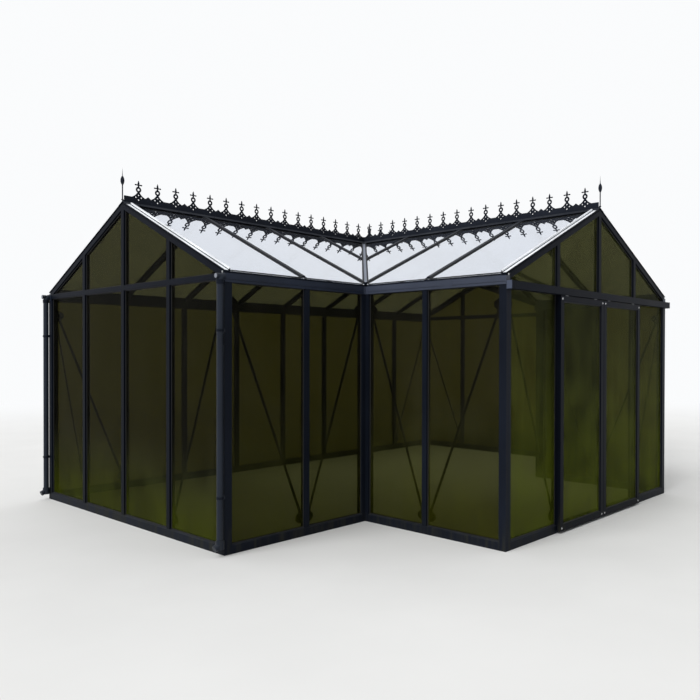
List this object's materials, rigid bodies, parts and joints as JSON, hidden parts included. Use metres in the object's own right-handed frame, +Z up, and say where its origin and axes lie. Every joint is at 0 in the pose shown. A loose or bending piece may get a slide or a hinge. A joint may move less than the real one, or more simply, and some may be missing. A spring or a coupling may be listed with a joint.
{
  "type": "glass greenhouse",
  "caption": "T-plan glass greenhouse with dark metal glazing bars, gabled roofs with ornamental ridge cresting, rainwater gutters, and a porch with sliding double doors.",
  "frame": {"origin": "on the ground, under the centre of the whole building's box", "axes": "+Z up, the sliding doors face -Y, the long house runs along X"},
  "size_m": [6.2268, 4.634, 3.1211],
  "materials": {
    "frame_coat": "satin black powder coat with a cool blue cast",
    "trim_coat": "satin black powder coat on cast and pressed trim",
    "wall_glass": "clear toughened sheet with a dark olive look and strong reflections",
    "roof_glass": "toughened sheet that mirrors the sky",
    "roller_steel": "plain zinc plated steel"
  },
  "bodies": {
    "house": {"base_sills": "frame_coat", "corner_posts": "frame_coat", "back_wall_mullions": "frame_coat", "side_wall_mullions": "frame_coat", "left_gable_mullions": "frame_coat", "right_gable_mullions": "frame_coat", "porch_gable_mullions": "frame_coat", "gable_transoms": "frame_coat", "gable_rafters": "frame_coat", "back_gutter": "frame_coat", "front_gutters": "frame_coat", "porch_gutters": "frame_coat", "main_ridge_beam": "frame_coat", "porch_ridge_beam": "frame_coat", "back_roof_bars": "frame_coat", "front_roof_bars": "frame_coat", "porch_roof_bars": "frame_coat", "valley_bars": "frame_coat", "back_wall_glass": "wall_glass", "front_wall_glass": "wall_glass", "porch_side_glass": "wall_glass", "left_gable_glass": "wall_glass", "right_gable_glass": "wall_glass", "porch_gable_glass": "wall_glass", "back_roof_glass": "roof_glass", "front_roof_glass": "roof_glass", "porch_roof_glass": "roof_glass", "main_ridge_cap": "trim_coat", "porch_ridge_cap": "trim_coat", "main_ridge_crest": "trim_coat", "porch_ridge_crest": "trim_coat", "gable_finials": "trim_coat", "downpipes": "frame_coat", "wall_braces": "frame_coat", "door_rail": "frame_coat"},
    "left_door": {"left_door_stiles": "frame_coat", "left_door_rails": "frame_coat", "left_door_glass": "wall_glass", "left_door_hangers": "roller_steel"},
    "right_door": {"right_door_stiles": "frame_coat", "right_door_rails": "frame_coat", "right_door_glass": "wall_glass", "right_door_hangers": "roller_steel"}
  },
  "joints": [
    {"name": "left_door_slide", "type": "slide", "parent": "house", "child": "left_door", "axis": [-1, 0, 0], "range_m": [0, 0.7]},
    {"name": "right_door_slide", "type": "slide", "parent": "house", "child": "right_door", "axis": [1, 0, 0], "range_m": [0, 0.7]}
  ]
}
